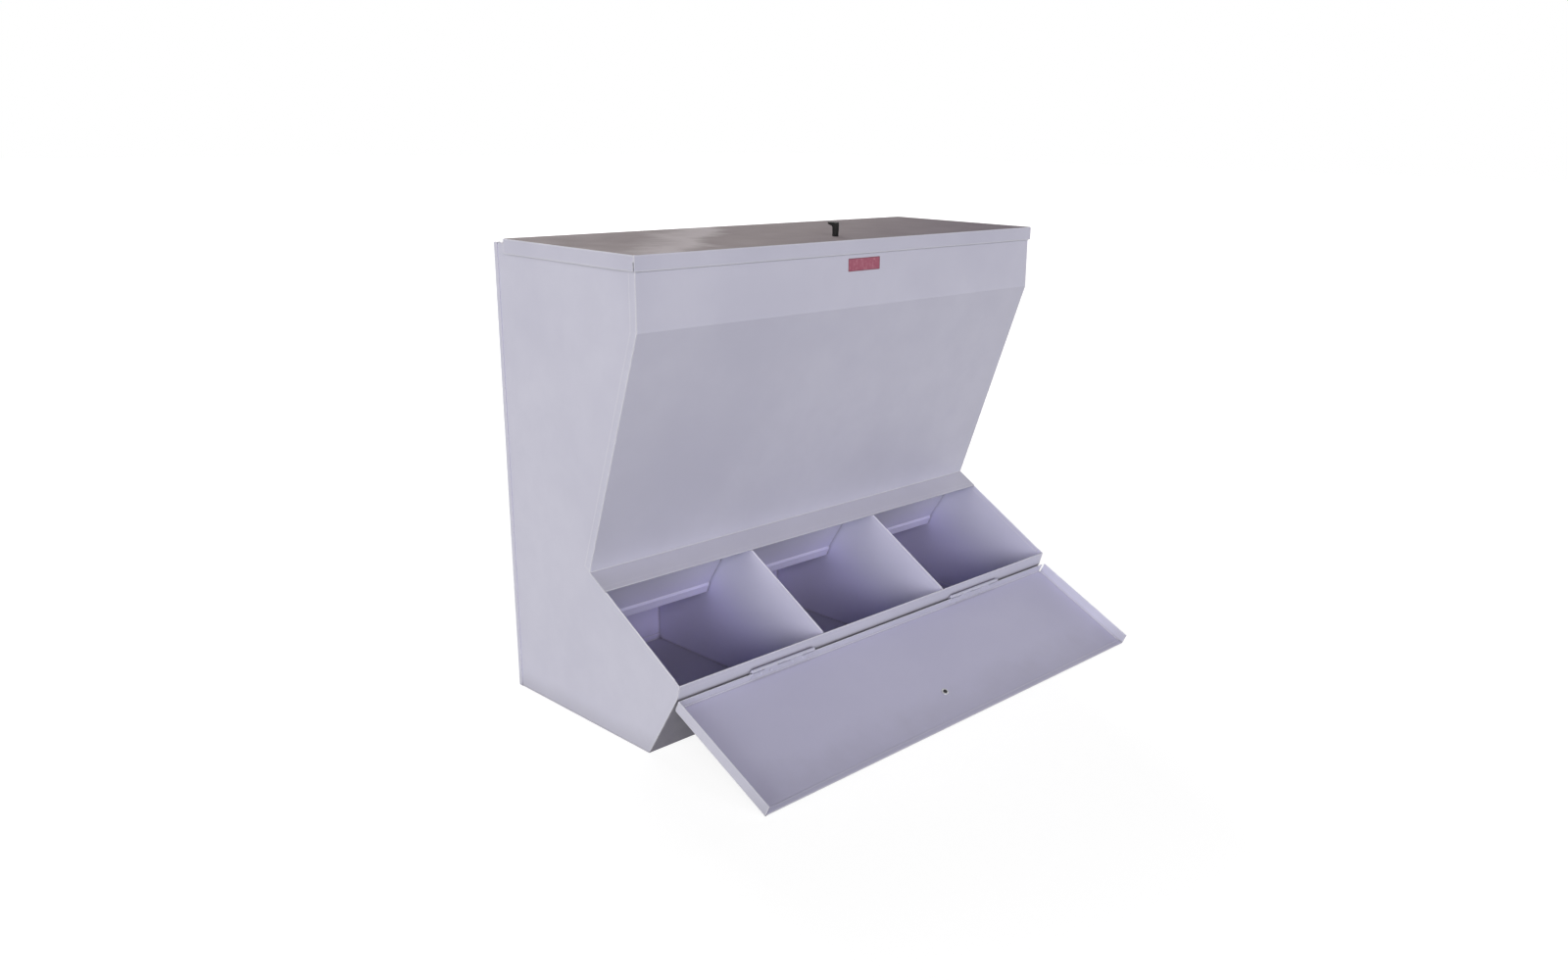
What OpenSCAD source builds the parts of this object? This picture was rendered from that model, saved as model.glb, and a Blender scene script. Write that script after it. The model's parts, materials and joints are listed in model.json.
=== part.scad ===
// Three-compartment feed bin in folded sheet steel.
// A hopper with a lift-up lid feeds three scoop compartments, which a drop-down door closes.
// Frame: +X to the right, +Y to the back, +Z up, origin under the middle of the floor pan.
// The model shows the door lying open on the ground and the lid closed.

/* [Cabinet] */
// Width over the front sheet's side returns
cab_w = 1220; // [960:10:1600]
// Depth from the upright band to the back sheet
cab_d = 480; // [400:10:640]
// Height from the ground to the top of the closed lid
cab_h = 1014; // [840:2:1300]
// Thickness of every cabinet, door and lid sheet
sheet_t = 1.2; // [0.8:0.1:1.6]
// Inside radius of a folded edge
bend_r = 1; // [0.5:0.1:2]
// Gap between the two layers of a hem
hem_gap = 0.3; // [0.2:0.1:0.6]
// Width of a hem
hem_w = 12; // [8:1:16]
// Gap between a sheet's cut edge and the sheet that it stops at
seam = 0.5; // [0.3:0.1:1]
// Width of the inner flanges that join one sheet to the next
flange_w = 15; // [10:1:18]

/* [Front] */
// Height of the upright band, lid closed
band_h = 147; // [90:1:200]
// How far the kick board leans out in front of the band
kick_out = 95; // [50:1:110]
// Height of the kick board
kick_h = 150; // [120:1:190]
// How far the lip leans out beyond the kick board
lip_out = 9; // [4:1:12]
// Height of the lip
lip_h = 32; // [26:1:40]
// Slope of the scoop opening above level
open_angle = 30; // [24:1:34]
// Distance up the slope from the lip to the foot of the hopper front
open_len = 332; // [250:1:400]
// Width of the strip along the top of the scoop opening
strip_w = 59; // [40:1:80]
// Width of the returns that wrap round the side sheets
return_w = 20; // [12:1:30]

/* [Inside] */
// Length of a baffle's upper leaf
baffle_len = 177; // [120:1:200]
// Lean of the upper leaf from upright
baffle_lean = 33; // [28:1:40]
// Height of the upright step between a baffle's two leaves
baffle_step = 7; // [4:1:12]
// Length of a baffle's lower leaf
baffle_lip = 22; // [18:1:34]
// Lean of the lower leaf from upright
baffle_lip_lean = 25; // [15:1:32]
// Gap between a baffle's ends and the partitions
baffle_gap = 2; // [1:0.5:4]
// Distance from the closed lid down to the top of a partition
divider_drop = 30; // [28:1:80]

/* [Door] */
// Clear gap between the cabinet's sides and the door's side flanges
door_gap = 3; // [2:0.5:6]
// Depth of the door's side flanges
door_flange = 28; // [12:1:30]
// How far the closed door overlaps the strip
door_overlap = 11; // [6:1:30]
// Gap between the closed door's hem and the strip
door_rest = 0.3; // [0.2:0.1:1]
// Gap at the door's hinge corners between its front and side flanges
corner_gap = 2; // [2:0.5:8]
// Height of the open door's outer edge above the ground
ground_gap = 0.5; // [0.3:0.1:3]
// Swing of the door up from the ground
door_swing = 0; // [0:1:176]

/* [Lid] */
// Height of the lid's rim
rim_h = 31; // [20:1:40]
// Clear gap between the cabinet and the lid's rim
rim_gap = 3; // [2:0.5:6]
// Width of the relief slit at the foot of each front corner
slit_w = 2.5; // [1:0.5:3]
// Height of the relief slit
slit_h = 18; // [8:1:19]
// Gap between the cabinet's top flanges and the closed lid
lid_rest = 0.6; // [0.4:0.1:2]
// Width of the fixed rail behind the lid
rail_w = 36; // [32:1:60]
// Depth of the rail's turned-down edge
rail_lip = 15; // [10:1:20]
// Swing of the lid up from closed
lid_swing = 0; // [0:1:100]

/* [Hinges] */
// Length of a butt hinge
hinge_len = 180; // [120:5:220]
// Distance from the middle of the bin to the middle of a hinge
hinge_x = 325; // [260:1:340]
// Outside radius of a rolled knuckle
knuckle_r = 4; // [3.5:0.1:5]
// Number of knuckles on a hinge
knuckles = 5; // [3:2:9]
// Gap between neighbouring knuckles
knuckle_gap = 0.4; // [0.2:0.1:0.8]
// Thickness of a hinge leaf
leaf_t = 1.2; // [1:0.1:1.6]
// Width of a hinge leaf from the pin's axis
leaf_w = 21; // [18:1:24]
// Radial clearance of a hinge pin
pin_clear = 0.05; // [0.02:0.01:0.1]
// Distance from the kick board's bend up to the door's hinge axis
hinge_up = 8; // [6:0.5:10]

/* [Fasteners] */
// Distance from the pin's axis to the rivets
rivet_in = 13; // [11:0.5:14]
// Radius of a rivet's shank
rivet_r = 2; // [1.6:0.1:2.4]
// Radius of a rivet's head
rivet_head_r = 3.2; // [2.8:0.1:3.5]
// Radius of a pull's screw
screw_r = 2.5; // [2:0.25:3]
// Radius of a pull's washer
washer_r = 9; // [7:0.5:12]

/* [Pulls] */
// Height of a pull
pull_h = 31; // [24:1:34]
// Width of a pull
pull_w = 11; // [9:0.5:16]
// Depth of a pull's stem
pull_stem = 10; // [9:0.5:14]
// How far a pull's hook reaches past its stem
pull_reach = 14; // [8:1:20]
// Distance from the lid's front edge to its pull
lid_pull_in = 82; // [40:1:200]
// Distance from the door's outer edge to its pull
door_pull_in = 82; // [76:1:150]

/* [Label] */
// Width of the label plate
label_w = 100; // [60:1:160]
// Height of the label plate
label_h = 28; // [20:1:50]
// Distance from the top of the closed lid to the middle of the label
label_drop = 54.5; // [46:0.5:100]
// Offset of the label from the middle of the bin
label_x = 12; // [-200:1:200]

/* [Hidden] */
$fn = 32;

paint = [0.74, 0.73, 0.78];
paint_in = [0.60, 0.60, 0.68];
steel = [0.66, 0.66, 0.70];
black = [0.08, 0.08, 0.09];
crimson = [0.58, 0.27, 0.38];

// Edges of the cabinet: half widths, then points as [y, z]
half_w = cab_w / 2;
side_x = half_w - sheet_t;
inner_x = side_x - sheet_t;
y_front = -cab_d / 2;
y_back = cab_d / 2;
lid_under = cab_h - sheet_t;
rim_z = lid_under - lid_rest;
rail_z = lid_under - 2 * knuckle_r;
rail_y = y_back - rail_w;
divider_z = cab_h - divider_drop;
hem_t = 2 * sheet_t + hem_gap;
bend_out = bend_r + sheet_t;
hem_start = 2;

up_slope = [cos(open_angle), sin(open_angle)];
foot = [y_front, 0];
heel = [y_back, 0];
lip_bend = [y_front - kick_out, kick_h];
nose = lip_bend + [-lip_out, lip_h];
waist = nose + open_len * up_slope;
strip_end = waist - strip_w * up_slope;
band_bend = [y_front, cab_h - band_h];
band_top = [y_front, rim_z];
kick_dir = unit(lip_bend - foot);
lip_dir = unit(nose - lip_bend);
slope_dir = unit(waist - band_bend);

// Door frame: u runs up the slope of the closed door, n stands off its outer face
kick_out_dir = [-kick_dir.y, kick_dir.x];
door_axis = lip_bend + knuckle_r * kick_out_dir + hinge_up * kick_dir;
nose_u = (nose - door_axis) * up_slope;
nose_n = (nose - door_axis) * [-up_slope.y, up_slope.x];
flange_u = knuckle_r - leaf_t - sheet_t;
face_n = nose_n + door_rest + hem_t;
door_end_u = nose_u + open_len - strip_w + door_overlap;
flange_low_n = knuckle_r + 0.5;
door_half = half_w + door_gap + sheet_t;
door_corner_u = flange_u + bend_out + corner_gap;
door_reach = norm([door_end_u, face_n]);
door_open = 180 + asin((door_axis.y - ground_gap) / door_reach) - atan2(face_n, door_end_u);
door_pull_u = door_end_u - door_pull_in;

// Lid frame: its hinge axis lies just in front of the rail, its underside is level with the knuckles' tops
lid_axis = [rail_y - knuckle_r / 2, lid_under - knuckle_r];
lid_back_y = lid_axis.x - knuckle_r - 1;
lid_front_y = y_front - rim_gap - sheet_t;
lid_half = half_w + rim_gap + sheet_t;
lid_pull_y = lid_front_y + lid_pull_in;

// Hinges, rivets and pulls
rivet_xs = [-0.34, -0.17, 0.17, 0.34] * hinge_len;
rivet_fit = 0.05;
rivet_head_h = 1.1;
rivet_tail_h = 1.8;
bore_r = knuckle_r - leaf_t;
pin_r = bore_r - pin_clear;
knuckle_len = hinge_len / knuckles;
screw_fit = 0.2;
screw_in = 16;
screw_head_r = 2 * screw_r;
screw_head_h = 3;
washer_t = 1.6;
label_t = 0.5;

function unit(v) = v / norm(v);
function left_of(v) = [-v.y, v.x];
function flat(p) = [p.x, p.y];
function angle_of(v) = atan2(v.y, v.x);
function reversed(v) = [for (i = [len(v) - 1:-1:0]) v[i]];

// Turn at b on the way a, b, c: positive to the left
function turn(a, b, c) =
    let (d = unit(flat(b) - flat(a)), e = unit(flat(c) - flat(b)))
    atan2(d.x * e.y - d.y * e.x, d * e);

// Point where the line through p along d meets the line through q along e
function meet(p, d, q, e) = p + d * ((q - p) * left_of(e)) / (d * left_of(e));

// Line through the points, moved to its left by the distance given for each of its stretches
function moved_left(path, dist) =
    let (
        n = len(path) - 1,
        dirs = [for (i = [0:n - 1]) unit(flat(path[i + 1]) - flat(path[i]))],
        base = [for (i = [0:n - 1]) flat(path[i]) + left_of(dirs[i]) * dist[i]]
    )
    [for (i = [0:n])
        i == 0 ? base[0] :
        i == n ? flat(path[n]) + left_of(dirs[n - 1]) * dist[n - 1] :
        meet(base[i - 1], dirs[i - 1], base[i], dirs[i])];

// Round the inner corners of a line with the radius given for each point
function rounded(path, radii) =
    let (n = len(path) - 1)
    [for (i = [0:n])
        let (r = i == 0 || i == n ? 0 : radii[i])
        if (r <= 0) flat(path[i])
        else
            let (
                th = turn(path[i - 1], path[i], path[i + 1]),
                d = unit(flat(path[i]) - flat(path[i - 1])),
                start = flat(path[i]) - d * r * tan(abs(th) / 2),
                steps = max(2, ceil(abs(th) / 18)),
                centre = start + left_of(d) * r * sign(th)
            )
            each [for (k = [0:steps])
                let (a = th * k / steps, s = start - centre)
                centre + [s.x * cos(a) - s.y * sin(a), s.x * sin(a) + s.y * cos(a)]]];

// Cross-section of a folded sheet: the path is its outer face, the sheet lies to the path's left,
// and a point's third number is its bend radius where that isn't bend_r
function folded(path, t = sheet_t) =
    let (
        n = len(path) - 1,
        ends = [for (i = [0:n]) i > 0 && i < n],
        inside = [for (p = path) len(p) > 2 ? p.z : bend_r],
        turns = [for (i = [0:n]) ends[i] ? turn(path[i - 1], path[i], path[i + 1]) : 0],
        outer_r = [for (i = [0:n]) turns[i] > 0 ? inside[i] + t : inside[i]],
        inner_r = [for (i = [0:n]) turns[i] > 0 ? inside[i] : inside[i] + t],
        inner = moved_left(path, [for (i = [0:n - 1]) t])
    )
    concat(rounded(path, outer_r), reversed(rounded(inner, inner_r)));

// The last points of a path that goes from a to b and ends in a hem to its left
function hem_after(a, b, w = hem_w) =
    let (d = unit(b - a), s = left_of(d) * hem_t, r = hem_gap / 2)
    [[b.x, b.y, r], [b.x + s.x, b.y + s.y, r], b + s - d * w];

// The first points of a path that starts in a hem to its left and goes from a to b
function hem_before(a, b, w = hem_w) =
    let (d = unit(b - a), s = left_of(d) * hem_t, r = hem_gap / 2)
    [a + s + d * w, [a.x + s.x, a.y + s.y, r], [a.x, a.y, r]];

// Extrude a [y, z] outline from x0 to x1
module across(x0, x1) {
    translate([x0, 0, 0])
        rotate([90, 0, 90])
            linear_extrude(x1 - x0)
                children();
}

// Extrude an [x, z] outline from y0 to y1
module along(y0, y1) {
    translate([0, y1, 0])
        rotate([90, 0, 0])
            linear_extrude(y1 - y0)
                children();
}

// Draw the same thing on the right and, mirrored, on the left
module both_sides() {
    children();
    mirror([1, 0, 0])
        children();
}

// Strip of sheet lying between two distances to the left of a path
module strip_of(path, near, far, x0, x1) {
    n = len(path) - 2;
    across(x0, x1)
        polygon(concat(moved_left(path, [for (i = [0:n]) near]),
            reversed(moved_left(path, [for (i = [0:n]) far]))));
}

// Hemmed edge on the scoop opening: the first layer is at x = 0, the second towards +X
module slope_hem(length) {
    r = hem_gap / 2;
    top_point = strip_end - hem_start * up_slope;
    translate([0, top_point.x, top_point.y])
        rotate([90 + open_angle, 0, 0])
            linear_extrude(length)
                polygon(folded([[hem_t, -hem_w], [hem_t, 0, r], [0, 0, r], [0, -hem_w - 2]]));
}

// Points of a sheet's edge on the scoop opening, cut back where the hem takes its place
function slope_edge(length) =
    let (
        back = [up_slope.y, -up_slope.x] * hem_t,
        low_point = strip_end - (hem_start + length + seam) * up_slope
    )
    [strip_end - up_slope + back, low_point + back, low_point];

// Outline that a side sheet and a partition share: the front edge under the hopper front
function under_front(top_z, strip_off) =
    moved_left([[y_front, top_z], band_bend, waist, strip_end - up_slope],
        [sheet_t + seam, sheet_t + seam, strip_off]);

module side_panel() {
    top_z = rim_z - sheet_t - seam;
    step_y = rail_y - seam;
    rear = y_back - sheet_t - seam;
    hem_len = open_len - strip_w - hem_start - flange_w - hem_t;
    outline = concat(
        under_front(top_z, sheet_t + seam),
        slope_edge(hem_len),
        [nose, lip_bend, foot, [rear, 0]],
        [[rear, rail_z - sheet_t - seam], [step_y, rail_z - sheet_t - seam], [step_y, top_z]]
    );
    across(inner_x, side_x)
        polygon(outline);
    // turned-in top edge
    along(y_front + flange_w + 2 * sheet_t, step_y)
        polygon(folded([[side_x, rim_z - flange_w], [side_x, rim_z], [side_x - flange_w, rim_z]]));
    // hem along the scoop opening, folded to the inside
    translate([side_x, 0, 0])
        mirror([1, 0, 0])
            slope_hem(hem_len);
}

module left_side_panel() {
    color(paint)
        mirror([1, 0, 0])
            side_panel();
}

module right_side_panel() {
    color(paint)
        side_panel();
}

module back_panel() {
    rail = [[y_back, 0], [y_back, rail_z], [rail_y, rail_z]];
    color(paint) {
        across(-half_w, half_w)
            polygon(folded(concat([rail[0], rail[1]], [rail[2] + [sheet_t, 0]])));
        across(-inner_x + 1, inner_x - 1)
            polygon(folded(concat(rail, [[rail_y, rail_z - rail_lip]])));
        both_sides()
            translate([side_x, y_back - hem_w, 0])
                cube([sheet_t, hem_w - sheet_t / 2, rail_z - sheet_t / 2]);
    }
}

module bottom_panel() {
    kick_in = moved_left([lip_bend, foot], [sheet_t]);
    front_foot = meet(kick_in[1], kick_dir, [0, 0], [1, 0]);
    rear_foot = [y_back - sheet_t, 0];
    tray = [front_foot + kick_dir * flange_w, front_foot, rear_foot, rear_foot + [0, flange_w]];
    color(paint_in) {
        across(-inner_x + bend_out + 2, inner_x - bend_out - 2)
            polygon(folded(tray));
        both_sides()
            along(front_foot.x + bend_out + 2, rear_foot.x - bend_out - 2)
                polygon(folded([[inner_x - flange_w, 0], [inner_x, 0], [inner_x, flange_w]]));
    }
}

module front_panel() {
    shape = [band_top + [flange_w, 0], band_top, band_bend, waist];
    color(paint) {
        across(-half_w, half_w)
            polygon(folded(concat(shape, [strip_end])));
        across(-inner_x + 1, inner_x - 1)
            polygon(folded(concat(shape, hem_after(waist, strip_end))));
        both_sides()
            strip_of([band_top - [0, sheet_t / 2], band_bend, waist - 3 * slope_dir],
                sheet_t / 2, return_w, side_x, half_w);
    }
}

module trough_panel() {
    lip_in = nose - (hem_w + 3) * lip_dir;
    kick_low = foot + (flange_w + 5) * kick_dir;
    color(paint)
        difference() {
            union() {
                across(-inner_x, inner_x)
                    polygon(folded(concat(hem_before(nose, lip_bend), [lip_bend, foot])));
                both_sides()
                    strip_of([lip_in, lip_bend, kick_low], sheet_t / 2, flange_w,
                        inner_x - sheet_t, inner_x);
            }
            at_kick_leaves()
                rivet_holes(knuckle_r, sheet_t);
        }
}

// Partition between two compartments, with its flanges on the +X side
module divider(x) {
    t = sheet_t;
    hem_len = open_len - strip_w - hem_start - 2 * hem_t - 2;
    lower = moved_left([strip_end, nose, lip_bend, foot, heel, [y_back, divider_z]],
        [0, hem_t + seam, t + seam, t + seam, t + seam]);
    outline = concat(
        under_front(divider_z, hem_t + seam),
        slope_edge(hem_len),
        [for (i = [1:len(lower) - 1]) lower[i]]
    );
    flange_top = waist - (flange_w + 12) * slope_dir;
    color(paint_in)
        translate([x - t / 2, 0, 0])
            difference() {
                union() {
                    across(0, t)
                        polygon(outline);
                    // flanges on the hopper front, the kick board, the floor and the back
                    strip_of([[y_front, divider_z], band_bend, flange_top], t, 2 * t, 0, flange_w);
                    strip_of([lip_bend - 10 * kick_dir, foot + (flange_w + 8) * kick_dir],
                        t, 2 * t, 0, flange_w);
                    translate([0, y_front + flange_w + 10, t])
                        cube([flange_w, cab_d - 2 * flange_w - 20, t]);
                    translate([0, y_back - 2 * t, flange_w + 10])
                        cube([flange_w, t, divider_z - flange_w - 10]);
                    slope_hem(hem_len);
                }
                // room for the floor pan's turned-up front and back edges
                translate([-1, y_back - 2 * t - seam, 0])
                    cube([flange_w + 2, 2 * t + seam, flange_w + t + seam]);
                strip_of([foot + (flange_w + 2 * t) * kick_dir, foot - 3 * kick_dir],
                    0, 2 * t + seam, -1, flange_w + 1);
            }
}

module left_divider() divider(-cab_w / 6);

module right_divider() divider(cab_w / 6);

// Baffle between two x positions: its upper flange lies on the back of the hopper front
module baffle(x0, x1) {
    front = moved_left([band_bend, waist, strip_end], [sheet_t, sheet_t]);
    start = front[1] - 3 * slope_dir;
    knee = start + baffle_len * [sin(baffle_lean), -cos(baffle_lean)];
    step = knee - [0, baffle_step];
    tip = step + baffle_lip * [sin(baffle_lip_lean), -cos(baffle_lip_lean)];
    path = [start - flange_w * slope_dir, start, knee, step];
    color(paint_in)
        across(x0 + baffle_gap, x1 - baffle_gap)
            polygon(folded(concat(path, hem_after(step, tip))));
}

module left_baffle() baffle(-inner_x, -cab_w / 6 - sheet_t / 2);

module centre_baffle() baffle(-cab_w / 6 + sheet_t / 2, cab_w / 6 - sheet_t / 2);

module right_baffle() baffle(cab_w / 6 + sheet_t / 2, inner_x);

module label_plate() {
    color(crimson)
        translate([label_x - label_w / 2, y_front - label_t, cab_h - label_drop - label_h / 2])
            cube([label_w, label_t, label_h]);
}

// Hinge leaf: the pin's axis is X, the leaf runs along +Y and touches what carries it at
// z = side * knuckle_r. The fixed leaf has the odd knuckles, the moving leaf the even ones
module leaf(first, side, holes) {
    near = side > 0 ? bore_r : -knuckle_r;
    color(steel)
        difference() {
            union() {
                translate([-hinge_len / 2, knuckle_r, near])
                    cube([hinge_len, leaf_w - knuckle_r, leaf_t]);
                for (i = [first:2:knuckles - 1])
                    translate([knuckle_x(i), 0, 0]) {
                        rotate([0, 90, 0])
                            cylinder(r = knuckle_r, h = knuckle_len - knuckle_gap);
                        translate([0, 0, near])
                            cube([knuckle_len - knuckle_gap, leaf_w, leaf_t]);
                    }
            }
            for (i = [first:2:knuckles - 1])
                translate([knuckle_x(i) - 1, 0, 0]) {
                    rotate([0, 90, 0])
                        cylinder(r = bore_r, h = knuckle_len + 2);
                    // the curl's end, just short of the leaf
                    rotate([side * 25, 0, 0])
                        translate([0, bore_r + 0.3, -0.2])
                            cube([knuckle_len + 2, leaf_t, 0.4]);
                }
            if (holes)
                rivet_holes(near, leaf_t);
        }
}
function knuckle_x(i) = -hinge_len / 2 + i * knuckle_len + knuckle_gap / 2;

module pin() {
    color(steel)
        rotate([0, 90, 0]) {
            cylinder(r = pin_r, h = hinge_len, center = true);
            for (end = [-1, 1])
                translate([0, 0, end * (hinge_len / 2 + 0.5)])
                    cylinder(r = pin_r + 0.6, h = 1, center = true);
        }
}

module rivet_holes(z, depth) {
    for (x = rivet_xs)
        translate([x, rivet_in, z - 1])
            cylinder(r = rivet_r + rivet_fit, h = depth + 2);
}

// Blind rivets with their heads below z
module rivets(z) {
    color(steel)
        for (x = rivet_xs)
            translate([x, rivet_in, z]) {
                translate([0, 0, -rivet_head_h])
                    cylinder(r1 = rivet_head_r - 1.2, r2 = rivet_head_r, h = rivet_head_h);
                cylinder(r = rivet_r, h = leaf_t + sheet_t);
                translate([0, 0, leaf_t + sheet_t])
                    cylinder(r1 = rivet_r + 1, r2 = rivet_r + 0.4, h = rivet_tail_h);
            }
}

// Places of the hinge leaves: on the kick board, on the door, on the rail and under the lid
module at_door_hinges(sides) {
    for (s = sides)
        translate([s * hinge_x, 0, 0])
            children();
}

module at_kick_leaves(sides = [-1, 1]) {
    at_door_hinges(sides)
        translate([0, door_axis.x, door_axis.y])
            rotate([angle_of(-kick_dir), 0, 0])
                children();
}

module in_door() {
    translate([0, door_axis.x, door_axis.y])
        rotate([door_open - door_swing, 0, 0])
            children();
}

module at_door_leaves(sides = [-1, 1]) {
    at_door_hinges(sides)
        in_door()
            rotate([90, 0, 0])
                children();
}

module in_lid() {
    translate([0, lid_axis.x, lid_axis.y])
        rotate([-lid_swing, 0, 0])
            children();
}

// Folded pan in the door's frame, lying open: face, hinge-side flange, hem and side flanges
module door_pan() {
    near = [flange_u, face_n];
    edge = hem_before([door_end_u, face_n], near);
    color(paint)
        difference() {
            in_door() {
                across(-door_half + sheet_t + corner_gap, door_half - sheet_t - corner_gap)
                    polygon(folded(concat(edge, [near, [flange_u, flange_low_n]])));
                across(-door_half + bend_out, door_half - bend_out)
                    polygon(folded(concat(edge, [[door_corner_u, face_n]])));
                both_sides()
                    along(door_corner_u, door_end_u)
                        polygon(folded([[door_half, face_n - door_flange], [door_half, face_n],
                            [door_half - 2 * bend_out, face_n]]));
            }
            at_door_leaves()
                rivet_holes(-knuckle_r, leaf_t + sheet_t);
            at_door_pull()
                cylinder(r = screw_r + screw_fit, h = 4 * sheet_t, center = true);
        }
}

// Lid sheet with a rim on the front and both sides
module lid_pan() {
    front = [lid_front_y, cab_h];
    edge_x = lid_half - 2 * bend_out;
    flat_y = lid_front_y + bend_out;
    color(paint)
        in_lid()
            translate([0, -lid_axis.x, -lid_axis.y])
                difference() {
                    union() {
                        across(-lid_half, lid_half)
                            polygon(folded([front + [2 * bend_out, 0], front, front - [0, rim_h]]));
                        translate([-lid_half + bend_out, flat_y, lid_under])
                            cube([2 * (lid_half - bend_out), lid_back_y - flat_y, sheet_t]);
                        both_sides()
                            along(lid_front_y + sheet_t, lid_back_y)
                                polygon(folded([[lid_half, cab_h - rim_h], [lid_half, cab_h],
                                    [edge_x, cab_h]]));
                    }
                    both_sides()
                        translate([lid_half - 2 * sheet_t, lid_front_y + sheet_t, cab_h - rim_h - 1])
                            cube([3 * sheet_t, slit_w, slit_h + 1]);
                    translate([0, lid_pull_y, lid_under])
                        cylinder(r = screw_r + screw_fit, h = 4 * sheet_t, center = true);
                }
}

// Places of the two pulls: z = 0 is the outer face of the sheet, the hook points along +Y
module at_door_pull() {
    in_door()
        translate([0, door_pull_u, face_n])
            rotate([0, 0, 180])
                children();
}

module at_lid_pull() {
    in_lid()
        translate([0, lid_pull_y - lid_axis.x, cab_h - lid_axis.y])
            children();
}

// Moulded pull: a tapered stem with a hook whose tip turns up a little
module pull() {
    s = pull_stem / 2;
    tip = s + pull_reach;
    side = [
        [-s + 0.5, 0], [s - 0.5, 0], [s, pull_h - 10], [tip, pull_h - 4], [tip, pull_h + 0.5],
        [tip - 4, pull_h - 0.5], [-s - 1, pull_h - 0.5], [-s - 1, pull_h - 5], [-s + 0.5, 0]
    ];
    radii = [0, 0, 4, 1.5, 1.5, 6, 3, 12, 0];
    color(black)
        difference() {
            across(-pull_w / 2, pull_w / 2)
                polygon(rounded(side, radii));
            translate([0, 0, -1])
                cylinder(r = screw_r + rivet_fit, h = screw_in + 2);
        }
}

// Screw from the inside, through a washer and the sheet, up into the pull
module pull_screw() {
    low = -sheet_t - washer_t;
    color(black) {
        translate([0, 0, low])
            cylinder(r = screw_r, h = screw_in - low);
        translate([0, 0, low - screw_head_h])
            cylinder(r1 = screw_head_r - 1.5, r2 = screw_head_r, h = screw_head_h);
    }
}

module pull_washer() {
    color(steel)
        translate([0, 0, -sheet_t - washer_t])
            difference() {
                cylinder(r = washer_r, h = washer_t);
                translate([0, 0, -1])
                    cylinder(r = screw_r + screw_fit, h = washer_t + 2);
            }
}

module door_hinge_fixed_leaf(s) {
    at_kick_leaves([s])
        leaf(0, 1, true);
}

module door_hinge_door_leaf(s) {
    at_door_leaves([s])
        leaf(1, -1, true);
}

module door_hinge_pin(s) {
    translate([s * hinge_x, door_axis.x, door_axis.y])
        pin();
}

module lid_hinge_fixed_leaf(s) {
    translate([s * hinge_x, lid_axis.x, lid_axis.y])
        leaf(0, -1, false);
}

module lid_hinge_lid_leaf(s) {
    in_lid()
        translate([s * hinge_x, 0, 0])
            rotate([180, 0, 0])
                leaf(1, -1, false);
}

module lid_hinge_pin(s) {
    translate([s * hinge_x, lid_axis.x, lid_axis.y])
        pin();
}

module cabinet_rivets() {
    at_kick_leaves()
        rivets(bore_r);
}

module door_rivets() {
    at_door_leaves()
        rivets(-knuckle_r);
}

module door_pull() at_door_pull() pull();

module door_pull_screw() at_door_pull() pull_screw();

module door_pull_washer() at_door_pull() pull_washer();

module lid_pull() at_lid_pull() pull();

module lid_pull_screw() at_lid_pull() pull_screw();

module lid_pull_washer() at_lid_pull() pull_washer();

left_side_panel();
right_side_panel();
back_panel();
bottom_panel();
front_panel();
trough_panel();
left_divider();
right_divider();
left_baffle();
centre_baffle();
right_baffle();
label_plate();
door_pan();
door_hinge_fixed_leaf(-1);  // door_hinge_left_fixed_leaf
door_hinge_door_leaf(-1);  // door_hinge_left_door_leaf
door_hinge_pin(-1);  // door_hinge_left_pin
door_hinge_fixed_leaf(1);  // door_hinge_right_fixed_leaf
door_hinge_door_leaf(1);  // door_hinge_right_door_leaf
door_hinge_pin(1);  // door_hinge_right_pin
cabinet_rivets();
door_rivets();
door_pull();
door_pull_screw();
door_pull_washer();
lid_pan();
lid_hinge_fixed_leaf(-1);  // lid_hinge_left_fixed_leaf
lid_hinge_lid_leaf(-1);  // lid_hinge_left_lid_leaf
lid_hinge_pin(-1);  // lid_hinge_left_pin
lid_hinge_fixed_leaf(1);  // lid_hinge_right_fixed_leaf
lid_hinge_lid_leaf(1);  // lid_hinge_right_lid_leaf
lid_hinge_pin(1);  // lid_hinge_right_pin
lid_pull();
lid_pull_screw();
lid_pull_washer();
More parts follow.
